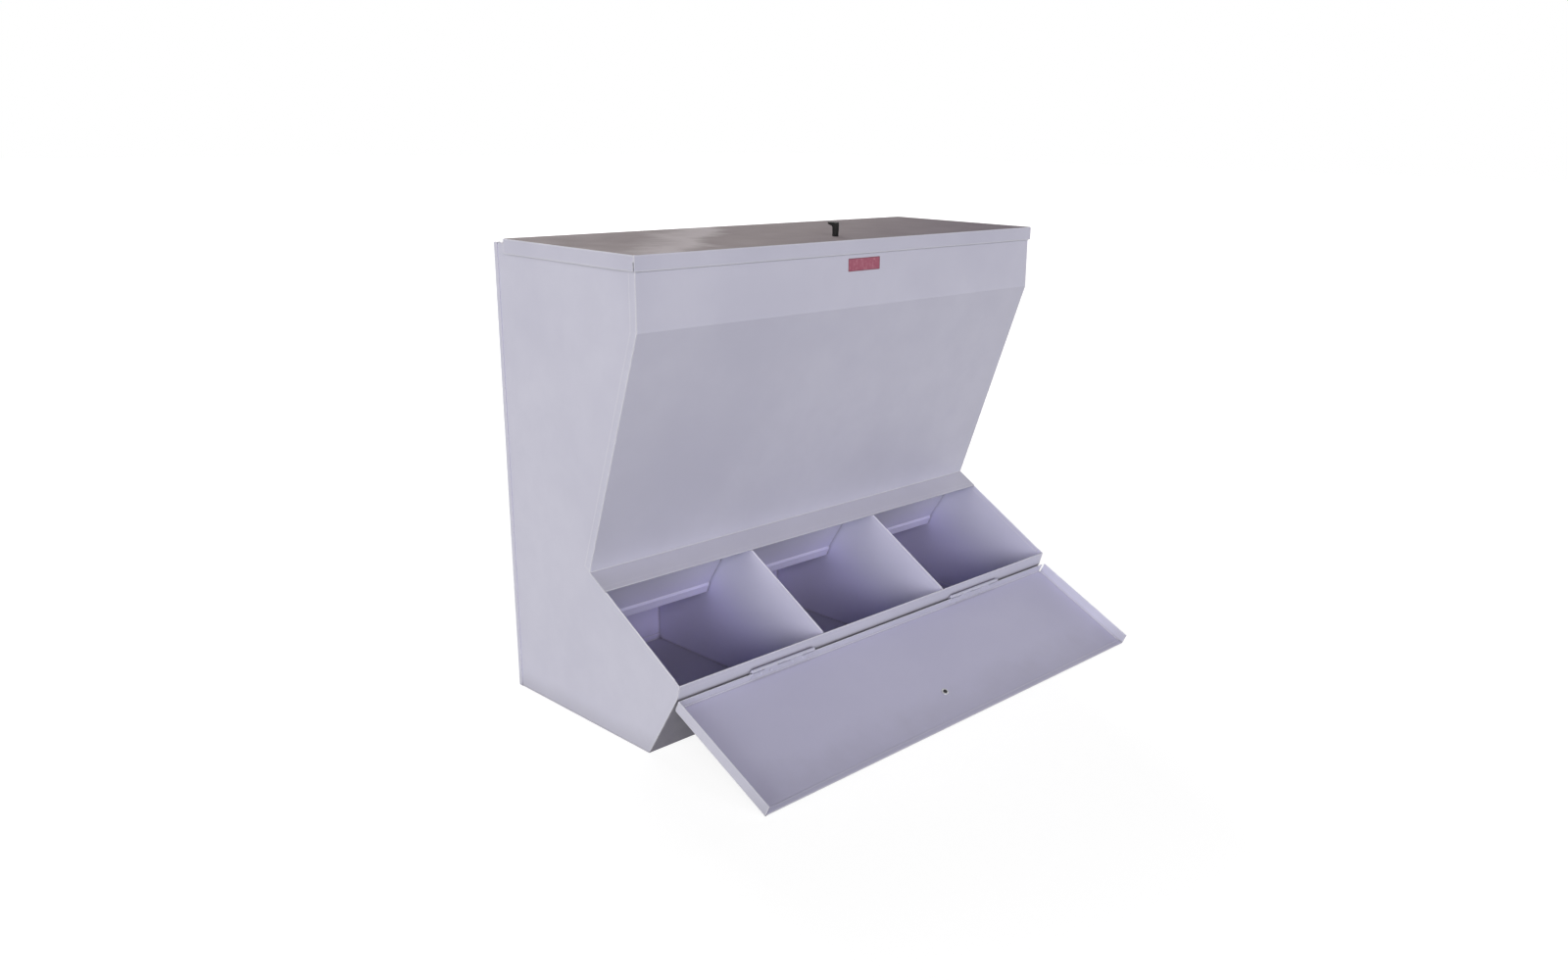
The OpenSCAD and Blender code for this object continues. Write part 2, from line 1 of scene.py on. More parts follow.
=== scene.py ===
import json
import bpy
import numpy as np
from mathutils import Matrix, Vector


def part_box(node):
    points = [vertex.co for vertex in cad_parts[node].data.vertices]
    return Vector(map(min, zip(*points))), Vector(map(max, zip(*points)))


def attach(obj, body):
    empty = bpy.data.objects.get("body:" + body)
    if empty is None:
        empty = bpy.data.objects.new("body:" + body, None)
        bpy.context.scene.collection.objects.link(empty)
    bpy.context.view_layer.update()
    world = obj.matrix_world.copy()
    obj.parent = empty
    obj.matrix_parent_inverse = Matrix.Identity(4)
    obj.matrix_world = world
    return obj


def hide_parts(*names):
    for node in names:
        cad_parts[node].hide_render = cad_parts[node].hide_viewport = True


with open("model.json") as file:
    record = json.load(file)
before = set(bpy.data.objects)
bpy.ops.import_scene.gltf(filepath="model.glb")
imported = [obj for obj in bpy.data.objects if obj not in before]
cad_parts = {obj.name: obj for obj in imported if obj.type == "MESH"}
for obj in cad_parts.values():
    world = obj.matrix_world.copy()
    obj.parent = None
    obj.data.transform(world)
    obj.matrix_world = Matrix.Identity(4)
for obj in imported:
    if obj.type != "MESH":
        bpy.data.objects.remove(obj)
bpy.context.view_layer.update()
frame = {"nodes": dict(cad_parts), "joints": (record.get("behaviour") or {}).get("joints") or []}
parts = frame["nodes"]
print("frame:", len(parts), "parts of the feed bin")


def tone(red, green, blue):
    # screen values 0 to 255, turned into the linear colour that a shader takes
    c = np.array([red, green, blue]) / 255
    linear = np.where(c <= 0.04045, c / 12.92, ((c + 0.055) / 1.055) ** 2.4)
    return (*linear.tolist(), 1.0)


def startMaterial(name):
    material = bpy.data.materials.new(name)
    material.use_nodes = True
    tree = material.node_tree
    tree.nodes.clear()
    out = tree.nodes.new("ShaderNodeOutputMaterial")
    shader = tree.nodes.new("ShaderNodeBsdfPrincipled")
    tree.links.new(shader.outputs[0], out.inputs[0])
    return material, tree, shader


def put(tree, socket, value):
    # a socket takes a link or a plain value
    if isinstance(value, bpy.types.NodeSocket):
        tree.links.new(value, socket)
    else:
        socket.default_value = value


def makeNode(tree, kind, inputs, **settings):
    node = tree.nodes.new("ShaderNode" + kind)
    for key, value in settings.items():
        setattr(node, key, value)
    for key, value in inputs.items():
        put(tree, node.inputs[key], value)
    return node


def compute(tree, operation, a, b=0.0):
    return makeNode(tree, "Math", {0: a, 1: b}, operation=operation).outputs[0]


def ramp(tree, value, low, high, outLow=0.0, outHigh=1.0):
    # a smooth step from outLow to outHigh while value goes from low to high
    inputs = {"Value": value, "From Min": low, "From Max": high,
              "To Min": outLow, "To Max": outHigh}
    return makeNode(tree, "MapRange", inputs, interpolation_type="SMOOTHSTEP").outputs[0]


def blendColours(tree, share, first, second):
    # the Mix node's colour sockets are 6 and 7, and its colour output is 2
    return makeNode(tree, "Mix", {0: share, 6: first, 7: second}, data_type="RGBA").outputs[2]


def speckle(tree, coords, scale, detail=2.0, rough=0.5, stretch=None):
    if stretch:
        coords = makeNode(tree, "Mapping", {"Vector": coords, "Scale": stretch}).outputs[0]
    inputs = {"Vector": coords, "Scale": scale, "Detail": detail, "Roughness": rough}
    return makeNode(tree, "TexNoise", inputs).outputs[0]


def objectCoords(tree):
    # place, its three numbers, and the three numbers of the direction that the face looks in
    where = makeNode(tree, "TexCoord", {})
    place = makeNode(tree, "SeparateXYZ", {0: where.outputs["Object"]})
    facing = makeNode(tree, "SeparateXYZ", {0: where.outputs["Normal"]})
    return where.outputs["Object"], place.outputs, facing.outputs


coat = {
    "colour": tone(197, 196, 216),
    "shade": tone(189, 188, 209),  # the coat where it lies a little thinner
    "driftScale": 2.3,  # broad clouds of shade, per metre
    "cloudScale": 14.0,  # smaller ones, which also make the dirt's edges uneven
    "cloudShare": 0.35,
    "skyLightTint": tone(194, 191, 229),  # bluer: painted bluish shade deep inside the bin and painted bluish sky light on the open door's top
    "skyLightTintShare": 1.0,
    "doorSkyLightShare": 0.45,
    "mouth": (-0.34, 0.18),  # y and z of the scoop opening's front edge
    "mouthSlope": 30.0,  # degrees above level, from there to the back
    "shadeTintDepth": (0.06, 0.24),  # in from the opening, the painted bluish shade grows stronger and stronger
    "openingTintShare": 0.3,
    "hopperFoot": (0.34, 0.42),  # above this height the inside takes the painted bluish shade in full
    "climbingDust": ("settled", 0.13, 0.25),  # what clings low on the inside, how high, and its share
    "climbingGrime": ("grimeAndShade", 0.06, 0.22),  # the same outside
    "binMiddle": (0.0, -0.05, 0.3),
    "settled": tone(142, 138, 142),  # dust on faces that look up
    "settledShare": (0.22, 0.5),  # on a slanting face and on a level one
    "edge": tone(234, 233, 240),  # painted highlight on folds and cut edges
    "edgeHighlightWidth": 0.004,  # m
    "edgeHighlightShare": 0.65,
    # grime near the ground, and also the colour of the painted shade in joints and under faces that
    # look down
    "grimeAndShade": tone(98, 94, 110),
    "jointDepth": 0.014,  # how far out of a joint its painted shade reaches, m
    "jointShadeShare": 0.9,
    "dirtFoot": 0.02,  # where what clings low starts to thin out
    "dirtUneven": 0.05,  # how far the clouds push its edge down
    "underShadeHeight": (0.15, 0.19),  # faces that look down at the ground take painted shade below this
    "underShadeShare": 0.95,
    "roughness": (0.40, 0.52),
    "peelScale": 420.0,  # orange peel, cells per metre
    "peelHeight": 0.00004,
    "waveScale": 5.0,  # slow waves of the sheet
    "waveHeight": 0.00025,
}


def outwardEdge(tree, width):
    # 1 on an outward edge, from how far a rounded normal would lean off the flat one
    flat = makeNode(tree, "NewGeometry", {}).outputs["Normal"]
    rounded = makeNode(tree, "Bevel", {"Radius": width}, samples=3).outputs[0]
    lean = makeNode(tree, "VectorMath", {0: flat, 1: rounded}, operation="DOT_PRODUCT")
    return ramp(tree, lean.outputs["Value"], 0.86, 0.985, 1.0, 0.0)


def openness(tree, depth):
    # 1 in the open, falling towards 0 down in a joint or corner
    return makeNode(tree, "AmbientOcclusion", {"Distance": depth}, samples=4).outputs["AO"]


def lineDistance(tree, first, second, through, slant):
    # how far two coordinates are past a line: (first - a) sin(slant) - (second - b) cos(slant)
    turn = np.radians(slant)
    a = compute(tree, "MULTIPLY", compute(tree, "SUBTRACT", first, through[0]), float(np.sin(turn)))
    b = compute(tree, "MULTIPLY", compute(tree, "SUBTRACT", second, through[1]), float(np.cos(turn)))
    return compute(tree, "SUBTRACT", a, b)


def dustAndReflectionFilm(tree, coords, place, dustAndReflection):
    # streaky dust film whose colours are a painted reflection: a painted highlight along a slanting
    # band, and a painted darker reflection past a slanting line near one corner
    streak = speckle(tree, coords, dustAndReflection["scale"], 3.0, 0.55, dustAndReflection["stretch"])
    film = blendColours(tree, ramp(tree, streak, 0.3, 0.7), dustAndReflection["colour"], dustAndReflection["paleStreak"])
    across = lineDistance(tree, place[0], place[1], dustAndReflection["highlightAt"], dustAndReflection["highlightSlant"])
    wander = dustAndReflection["highlightWander"]
    across = compute(tree, "ADD", across, ramp(tree, streak, 0.2, 0.8, -wander, wander))
    ragged, reach = speckle(tree, coords, dustAndReflection["raggedScale"], 3.0, 0.6), dustAndReflection["highlightRagged"]
    across = compute(tree, "ADD", across, ramp(tree, ragged, 0.2, 0.8, -reach, reach))
    started = ramp(tree, across, *dustAndReflection["highlightStart"])
    beforeEnd = ramp(tree, across, *dustAndReflection["highlightEnd"], 1.0, 0.0)
    highlight = compute(tree, "MULTIPLY", started, beforeEnd)
    film = blendColours(tree, highlight, film, dustAndReflection["highlight"])
    sideways = compute(tree, "MULTIPLY", place[0], dustAndReflection["darkReflectionSlope"])
    corner = compute(tree, "SUBTRACT", sideways, place[1])
    return blendColours(tree, ramp(tree, corner, *dustAndReflection["darkReflectionFrom"]), film, dustAndReflection["darkReflection"])


def skyLightTintMask(tree, place, facing, where):
    # how much painted bluish light a face takes: the top of the open door by its own share, as painted
    # sky light;
    # an inside piece by its way in from the slanting opening, as painted shade deeper in; and a wall
    # the same where it looks to the middle of the bin, which the dot product of its direction and the
    # way to the middle tells
    inFrom = lineDistance(tree, place[1], place[2], coat["mouth"], coat["mouthSlope"])
    deep = ramp(tree, inFrom, *coat["shadeTintDepth"])
    closed = compute(tree, "MAXIMUM", deep, ramp(tree, place[2], *coat["hopperFoot"]))
    inShade = ramp(tree, closed, 0.0, 1.0, coat["openingTintShare"], coat["skyLightTintShare"])
    if where == "all":
        return inShade
    if where == "top":
        return ramp(tree, facing[2], 0.4, 0.7, 0.0, coat["doorSkyLightShare"])
    total = 0.0
    for axis, middle in enumerate(coat["binMiddle"]):
        way = compute(tree, "SUBTRACT", middle, place[axis])
        total = compute(tree, "ADD", compute(tree, "MULTIPLY", facing[axis], way), total)
    return compute(tree, "MULTIPLY", ramp(tree, total, 0.01, 0.03), inShade)


def sprayedCoat(name, skyLightTint="walls", dustAndReflection=None, settled=1.0, shadedUnder=True):
    # powder coat: slow drift of tone, fine orange peel, painted highlights on edges, painted shade in
    # joints, corners and under overhangs, grime near the ground, painted shade where it faces down
    # close to the ground, painted bluish light where asked, and dust with a painted reflection where
    # asked
    material, tree, shader = startMaterial(name)
    coords, place, facing = objectCoords(tree)
    drift = speckle(tree, coords, coat["driftScale"], 3.0, 0.55)
    cloud = speckle(tree, coords, coat["cloudScale"], 4.0, 0.6)
    colour = blendColours(tree, ramp(tree, drift, 0.35, 0.7), coat["colour"], coat["shade"])
    mottle = ramp(tree, cloud, 0.3, 0.75, 0.0, coat["cloudShare"])
    colour = blendColours(tree, mottle, colour, coat["shade"])
    # painted bluish light: shade inside the bin and sky light on the open door's top
    colour = blendColours(tree, skyLightTintMask(tree, place, facing, skyLightTint), colour, coat["skyLightTint"])
    level = ramp(tree, facing[2], 0.84, 0.98, *coat["settledShare"])
    upward = compute(tree, "MULTIPLY", ramp(tree, facing[2], 0.7, 0.8, 0.0, settled), level)
    colour = blendColours(tree, upward, colour, coat["settled"])
    dirt, climb, share = coat["climbingDust"] if skyLightTint == "all" else coat["climbingGrime"]
    height = compute(tree, "ADD", place[2], compute(tree, "MULTIPLY", cloud, coat["dirtUneven"]))
    low = ramp(tree, height, coat["dirtFoot"], coat["dirtFoot"] + climb, share, 0.0)
    colour = blendColours(tree, low, colour, coat[dirt])
    # painted shadow: faces that look down close to the ground are darkened
    if shadedUnder:
        facingDown = ramp(tree, facing[2], -0.5, -0.42, coat["underShadeShare"], 0.0)
        nearGround = ramp(tree, place[2], *coat["underShadeHeight"], 1.0, 0.0)
        underShade = compute(tree, "MULTIPLY", facingDown, nearGround)
        colour = blendColours(tree, underShade, colour, coat["grimeAndShade"])
    clear = openness(tree, coat["jointDepth"])
    # painted highlight: the coat is lightened on outward folds and cut edges that are out in the open
    edge = compute(tree, "MULTIPLY", outwardEdge(tree, coat["edgeHighlightWidth"]), ramp(tree, clear, 0.4, 0.8))
    edge = compute(tree, "MULTIPLY", edge, coat["edgeHighlightShare"])
    colour = blendColours(tree, edge, colour, coat["edge"])
    # painted shade: the coat darkens down in joints, corners and under overhangs
    joint = ramp(tree, clear, 0.25, 0.7, coat["jointShadeShare"], 0.0)
    rough = ramp(tree, cloud, 0.3, 0.7, *coat["roughness"])
    # dust on faces that look up, matt, in colours that hold a painted reflection and a painted
    # highlight
    if dustAndReflection:
        film = ramp(tree, facing[2], 0.8, 0.97, 0.0, dustAndReflection["share"])
        colour = blendColours(tree, film, colour, dustAndReflectionFilm(tree, coords, place, dustAndReflection))
        rough = compute(tree, "ADD", rough, compute(tree, "MULTIPLY", film, dustAndReflection["matt"]))
        shader.inputs["Specular IOR Level"].default_value = dustAndReflection["gloss"]
    # the painted shade in joints goes over everything else
    colour = blendColours(tree, joint, colour, coat["grimeAndShade"])
    peel = speckle(tree, coords, coat["peelScale"], 1.0)
    wave = speckle(tree, coords, coat["waveScale"], 1.0)
    fine = makeNode(tree, "Bump", {"Height": peel, "Distance": coat["peelHeight"], "Strength": 0.5})
    bump = {"Height": wave, "Distance": coat["waveHeight"], "Strength": 0.6, "Normal": fine.outputs[0]}
    both = makeNode(tree, "Bump", bump)
    put(tree, shader.inputs["Base Color"], colour)
    put(tree, shader.inputs["Roughness"], rough)
    put(tree, shader.inputs["Normal"], both.outputs[0])
    return material


# the lid's dust film: real dust makes it matt, and its colours are a painted reflection of brown
# surroundings, with a painted highlight band and a painted darker reflection at the front right corner
lidDustAndReflection = {
    "colour": tone(138, 127, 129),
    "paleStreak": tone(148, 137, 138),
    "highlight": tone(192, 183, 186),
    "darkReflection": tone(106, 95, 104),
    "share": 0.95,
    "scale": 3.0,
    "stretch": (1.0, 0.25, 1.0),
    "raggedScale": 12.0,
    "highlightAt": (-0.30, -0.02),
    "highlightSlant": 46.0,  # degrees from the width towards the back
    "highlightStart": (-0.12, 0.0),  # m across the band
    "highlightEnd": (0.01, 0.075),
    "highlightWander": 0.03,  # m that its edges stray
    "highlightRagged": 0.025,
    "darkReflectionFrom": (-0.1, 0.65),  # m past a line that slants by the next entry's slope, where the painted darker reflection sets in
    "darkReflectionSlope": 0.7,
    "matt": 0.4,
    "gloss": 0.2,
}

hingeCoat = {
    "steel": tone(166, 164, 172),
    "spotScale": 160.0,
    "wearRange": (0.55, 0.75),
    "wearShare": 0.8,
    "roughness": (0.42, 0.55),
}


def hingePaint():
    # the bin's paint over plain steel, rubbed through in spots
    material, tree, shader = startMaterial("hingePaint")
    coords = objectCoords(tree)[0]
    spots = speckle(tree, coords, hingeCoat["spotScale"], 3.0, 0.6)
    worn = ramp(tree, spots, *hingeCoat["wearRange"], 0.0, hingeCoat["wearShare"])
    colour = blendColours(tree, worn, coat["shade"], hingeCoat["steel"])
    put(tree, shader.inputs["Base Color"], colour)
    put(tree, shader.inputs["Metallic"], compute(tree, "MULTIPLY", worn, 0.7))
    put(tree, shader.inputs["Roughness"], ramp(tree, spots, 0.3, 0.7, *hingeCoat["roughness"]))
    bump = makeNode(tree, "Bump", {"Height": spots, "Distance": 0.0001, "Strength": 0.4})
    put(tree, shader.inputs["Normal"], bump.outputs[0])
    return material


mouldedFinish = {
    "colour": tone(11, 10, 12),
    "scuffed": tone(27, 26, 29),
    "scuffScale": 220.0,
    "grain": 900.0,
    "roughness": (0.42, 0.55),
    "gloss": 0.25,
}


def mouldedPlastic():
    # fine moulded grain with paler scuffs
    material, tree, shader = startMaterial("mouldedPlastic")
    coords = objectCoords(tree)[0]
    scuff = speckle(tree, coords, mouldedFinish["scuffScale"], 4.0, 0.65)
    grain = speckle(tree, coords, mouldedFinish["grain"], 1.0)
    marks = ramp(tree, scuff, 0.55, 0.75, 0.0, 0.5)
    colour = blendColours(tree, marks, mouldedFinish["colour"], mouldedFinish["scuffed"])
    put(tree, shader.inputs["Base Color"], colour)
    put(tree, shader.inputs["Roughness"], ramp(tree, scuff, 0.3, 0.7, *mouldedFinish["roughness"]))
    bump = makeNode(tree, "Bump", {"Height": grain, "Distance": 0.00004, "Strength": 0.6})
    put(tree, shader.inputs["Normal"], bump.outputs[0])
    shader.inputs["Specular IOR Level"].default_value = mouldedFinish["gloss"]
    return material


platedFinish = {
    "cloudScale": 300.0,
    "streakScale": 500.0,
    "streakStretch": (1.0, 0.15, 1.0),
    "darkerBy": 0.72,
}


def platedSteel(name, colour, metallic, roughness):
    # brushed or blackened steel: fine streaks in roughness and a faint change of tone
    material, tree, shader = startMaterial(name)
    coords = objectCoords(tree)[0]
    finish = platedFinish
    cloud = speckle(tree, coords, finish["cloudScale"], 4.0, 0.6)
    streak = speckle(tree, coords, finish["streakScale"], 2.0, 0.5, finish["streakStretch"])
    darker = tuple(finish["darkerBy"] * c for c in colour[:3]) + (1.0,)
    mixed = blendColours(tree, ramp(tree, cloud, 0.35, 0.7), colour, darker)
    put(tree, shader.inputs["Base Color"], mixed)
    shader.inputs["Metallic"].default_value = metallic
    put(tree, shader.inputs["Roughness"], ramp(tree, streak, 0.3, 0.7, *roughness))
    bump = makeNode(tree, "Bump", {"Height": streak, "Distance": 0.00003, "Strength": 0.5})
    put(tree, shader.inputs["Normal"], bump.outputs[0])
    return material


labelPrint = {
    "field": tone(150, 70, 95),
    "worn": tone(178, 116, 136),
    "wornScale": 120.0,
    "wornShare": 0.8,
    "border": tone(112, 54, 74),
    "borderWidth": 0.0018,
    "borderBlend": 0.0004,
}


def printedPlate():
    # crimson field, rubbed paler in places, inside a darker border
    material, tree, shader = startMaterial("printedPlate")
    coords, place = objectCoords(tree)[:2]
    low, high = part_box("label_plate")
    middle = (low + high) / 2
    acrossX = compute(tree, "ABSOLUTE", compute(tree, "SUBTRACT", place[0], middle.x))
    upZ = compute(tree, "ABSOLUTE", compute(tree, "SUBTRACT", place[2], middle.z))
    edgeX = compute(tree, "SUBTRACT", (high.x - low.x) / 2, acrossX)
    edgeZ = compute(tree, "SUBTRACT", (high.z - low.z) / 2, upZ)
    edge = compute(tree, "MINIMUM", edgeX, edgeZ)
    width = labelPrint["borderWidth"]
    inside = ramp(tree, edge, width - labelPrint["borderBlend"], width)
    worn = speckle(tree, coords, labelPrint["wornScale"], 4.0, 0.65)
    rubbed = ramp(tree, worn, 0.45, 0.75, 0.0, labelPrint["wornShare"])
    field = blendColours(tree, rubbed, labelPrint["field"], labelPrint["worn"])
    put(tree, shader.inputs["Base Color"], blendColours(tree, inside, labelPrint["border"], field))
    put(tree, shader.inputs["Roughness"], ramp(tree, rubbed, 0.0, 1.0, 0.3, 0.5))
    bump = makeNode(tree, "Bump", {"Height": inside, "Distance": 0.0002, "Strength": 0.6})
    put(tree, shader.inputs["Normal"], bump.outputs[0])
    return material


paint = sprayedCoat("paint")
insidePaint = sprayedCoat("insidePaint", skyLightTint="all")
# the door's underside is out in front when it is shut, so it takes no painted shade from below
doorPaint = sprayedCoat("doorPaint", skyLightTint="top", settled=0.3, shadedUnder=False)
lidPaint = sprayedCoat("lidPaint", dustAndReflection=lidDustAndReflection)
hinge = hingePaint()
plastic = mouldedPlastic()
zinc = platedSteel("zinc", tone(200, 200, 206), 1.0, (0.28, 0.45))
blackScrew = platedSteel("blackScrew", tone(44, 43, 46), 0.6, (0.35, 0.5))
labelFace = printedPlate()

finishes = {"paint": paint, "hinge_steel": hinge, "black_plastic": plastic,
            "black_steel": blackScrew, "bright_steel": zinc, "label": labelFace}
ownPaint = {"lid_pan": lidPaint, "door_pan": doorPaint}
for name, part in parts.items():
    inside = "divider" in name or "baffle" in name
    finish = insidePaint if inside else finishes[part.data.materials[0].name]
    part.data.materials[0] = ownPaint.get(name, finish)
print("materials: paint, hinge, plastic, plated steel and label are on the parts")


mm = 0.001


def surfacePiece(name, grids, material, body, ringed=False):
    # grids has the shape (copies, rows, columns, 3) in metres; columns close on themselves, and rows
    # end in flat caps, or close on themselves too where ringed is set
    grids = np.asarray(grids, float)
    copies, rows, columns = grids.shape[:3]
    index = np.arange(rows * columns).reshape(rows, columns)
    if ringed:
        index = np.vstack([index, index[:1]])
    beside = np.roll(index, -1, axis=1)
    quads = np.stack([index[:-1], beside[:-1], beside[1:], index[1:]], axis=-1).reshape(-1, 4)
    first = grids[0]
    corner = first.reshape(-1, 3)[quads]
    middle = first.reshape(-1, 3).mean(axis=0)
    normal = np.cross(corner[:, 1] - corner[:, 0], corner[:, 3] - corner[:, 0])
    inside = np.einsum("ij,ij->i", normal, corner[:, 0] - middle).sum() < 0
    if inside:
        quads = quads[:, ::-1]
    jump = rows * columns
    faces = (quads[None] + jump * np.arange(copies)[:, None, None]).reshape(-1, 4).tolist()
    if not ringed:
        for low in jump * np.arange(copies):
            start, end = (index[0] + low).tolist(), (index[-1] + low).tolist()
            faces += [start, end[::-1]] if inside else [start[::-1], end]
    mesh = bpy.data.meshes.new(name)
    mesh.from_pydata(grids.reshape(-1, 3).tolist(), [], faces)
    mesh.polygons.foreach_set("use_smooth", np.ones(len(faces), bool))
    mesh.set_sharp_from_angle(angle=np.radians(38))
    mesh.materials.append(material)
    piece = bpy.data.objects.new(name, mesh)
    bpy.context.scene.collection.objects.link(piece)
    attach(piece, body)
    return piece


def turned(profile, columns=32):
    # a lathe: each (radius, height) pair of the profile, in mm, goes once round the axis
    r, h = np.array(profile, float).T * mm
    angle = np.linspace(0, 2 * np.pi, columns, endpoint=False)
    return np.stack([np.outer(r, np.cos(angle)), np.outer(r, np.sin(angle)),
                     np.repeat(h[:, None], columns, axis=1)], axis=-1)


def placed(grid, origins, axisX, axisY, axisZ):
    # copies of a grid, in the frame of the three axes, at each origin
    turn = np.array([axisX, axisY, axisZ], float)
    return (grid @ turn)[None] + np.asarray(origins, float)[:, None, None, :]


def upright(y, z):
    return np.array([0.0, y, z])


hingeSize = {
    "kickOut": 95.0,  # the kick board's lean and height, mm
    "kickHeight": 150.0,
    "middle": 325.0,  # from the middle of the bin, mm
    "length": 180.0,
    "boreRadius": 2.8,
    "knuckleRadius": 4.0,
    "rivetIn": 13.0,
    "rivetPlaces": (-0.34, -0.17, 0.17, 0.34),  # shares of the length
}
joints = {joint["name"]: joint for joint in frame["joints"]}
doorAxis = np.array(joints["door_swing"]["pos_m"], float)
lidAxis = np.array(joints["lid_swing"]["pos_m"], float)
# the shut door lies along the opening, and opens by its joint's whole range
openAngle = np.radians(coat["mouthSlope"] + joints["door_swing"]["range_deg"][1])
# the open door's outward line and face, and the kick board's downward line and inward side
doorOut = upright(np.cos(openAngle), np.sin(openAngle))
doorFace = upright(-np.sin(openAngle), np.cos(openAngle))
kickDown = upright(hingeSize["kickOut"], -hingeSize["kickHeight"])
kickDown /= np.linalg.norm(kickDown)
kickIn = np.cross([1.0, 0.0, 0.0], kickDown)
hingeMiddles = hingeSize["middle"] * np.array([[-1], [1]])
rivetX = (hingeMiddles + hingeSize["length"] * np.array(hingeSize["rivetPlaces"])).ravel() * mm

# radius and height in mm of a blind rivet: its set tail, shank, domed head and open mandrel hole
rivetProfile = [(0.05, -4.05), (0.9, -4.2), (1.9, -4.05), (2.6, -3.6), (2.85, -3.0), (2.5, -2.4),
                (2.0, -2.35), (2.0, 0.0), (3.15, 0.0), (3.2, 0.12), (3.05, 0.45), (2.6, 0.75),
                (2.0, 0.96), (1.5, 1.07), (1.1, 1.1), (0.95, 1.04), (0.85, 0.85), (0.8, 0.4),
                (0.05, 0.35)]


def makeRivets():
    head = turned(rivetProfile, 24)
    side = np.array([1.0, 0.0, 0.0])
    across = rivetX[:, None] * side
    inward = hingeSize["rivetIn"] * mm
    kickSeat = doorAxis + inward * kickDown + hingeSize["boreRadius"] * mm * kickIn
    doorSeat = doorAxis + inward * doorFace + hingeSize["knuckleRadius"] * mm * doorOut
    rows = [("kickRivets", "cabinet", kickSeat, kickDown, -kickIn),
            ("doorRivets", "door", doorSeat, doorFace, doorOut)]
    for name, body, seat, axisY, axisZ in rows:
        heads = placed(head, seat + across, side, axisY, axisZ)
        piece = surfacePiece(name, heads, hinge, body)
        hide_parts(body + "_rivets")


# spot welds in place of rivets on the lid's hinges: a shallow crater inside a raised ring, in mm
weldProfile = [(3.0, -0.1), (3.0, 0.0), (2.85, 0.1), (2.5, 0.22), (2.1, 0.25), (1.7, 0.18),
               (1.1, 0.06), (0.5, 0.02), (0.03, 0.01)]
weldSettings = {"fixedIn": 13.0, "movingIn": -13.0, "fixedTop": -2.8, "movingUnder": 2.8}


def makeWelds():
    mark = turned(weldProfile, 24)
    side, back, up = np.eye(3)
    across = rivetX[:, None] * side
    rows = [("railWelds", "cabinet", "fixedIn", "fixedTop", up),
            ("lidWelds", "lid", "movingIn", "movingUnder", -up)]
    for name, body, inward, height, axisZ in rows:
        seat = lidAxis + upright(weldSettings[inward], weldSettings[height]) * mm
        surfacePiece(name, placed(mark, seat + across, side, back, axisZ), hinge, body)


pullSettings = {
    "width": 11.0,
    "rounding": 0.9,
    "partingLine": 0.12,  # height of the ridge, mm
    "partingWidth": 0.35,
    "endInset": 0.15,  # of one more loop inside each flat end
    # corners of the side outline in mm, and the radius of each
    "corners": [(-4.6, 0.0), (4.6, 0.0), (5.0, 21.5), (19.0, 26.4), (19.0, 31.0), (15.0, 30.4),
                (-6.0, 30.5), (-6.0, 26.0)],
    "radii": [1.7, 1.7, 4.5, 1.9, 1.9, 6.0, 3.0, 10.0],
    "arcSteps": 9,
    "rows": 25,
}


def roundedOutline(corners, radii, steps):
    # each corner of a closed line is swapped for an arc that touches both of its sides
    p = np.array(corners, float)
    before, after = np.roll(p, 1, axis=0) - p, np.roll(p, -1, axis=0) - p
    reach = np.minimum(np.linalg.norm(before, axis=1), np.linalg.norm(after, axis=1)) * 0.49
    before /= np.linalg.norm(before, axis=1)[:, None]
    after /= np.linalg.norm(after, axis=1)[:, None]
    half = np.arccos(np.clip((before * after).sum(axis=1), -1, 1)) / 2
    tangent = np.minimum(np.array(radii) / np.tan(half), reach)
    t = np.linspace(0, 1, steps)[None, :, None]
    start, end = p + before * tangent[:, None], p + after * tangent[:, None]
    # a quadratic blend through the corner stands for the arc
    curve = (1 - t) ** 2 * start[:, None] + 2 * t * (1 - t) * p[:, None] + t ** 2 * end[:, None]
    return curve.reshape(-1, 2)


def pullSurface():
    # the side outline carried across the width, drawn in near both ends by a quarter circle,
    # with a fine ridge half way where the mould parted
    s = pullSettings
    line = roundedOutline(s["corners"], s["radii"], s["arcSteps"])
    ahead, behind = np.roll(line, -1, axis=0), np.roll(line, 1, axis=0)
    along = ahead - behind
    inward = np.stack([-along[:, 1], along[:, 0]], axis=1) / np.linalg.norm(along, axis=1)[:, None]
    x = s["width"] / 2 * np.sin(np.linspace(-0.5, 0.5, s["rows"]) * np.pi)
    into = np.clip((np.abs(x) - s["width"] / 2 + s["rounding"]) / s["rounding"], 0, 1)
    ridge = s["partingLine"] * np.exp(-(x / s["partingWidth"]) ** 2)
    draw = s["rounding"] * (1 - np.sqrt(1 - into ** 2)) - ridge
    # the extra loop inside each flat end keeps its shading flat
    x = np.concatenate([x[:1], x, x[-1:]])
    draw = np.concatenate([draw[:1] + s["endInset"], draw, draw[-1:] + s["endInset"]])
    yz = line[None] + draw[:, None, None] * inward[None]
    return np.concatenate([np.repeat(x[:, None, None], len(line), axis=1), yz], axis=2) * mm


screwSettings = {
    "head": 5.0,  # radius, mm
    "headHeight": 3.0,
    "rimHeight": 0.6,
    "shank": 2.5,
    "length": 18.0,
    "tipBevel": (0.6, 1.0),
    "crossWidth": 0.75,
    "crossReach": 2.9,
    "crossDepth": 1.6,
    "crossSharpness": 9.0,
    "columns": 96,
    "rows": 44,
}


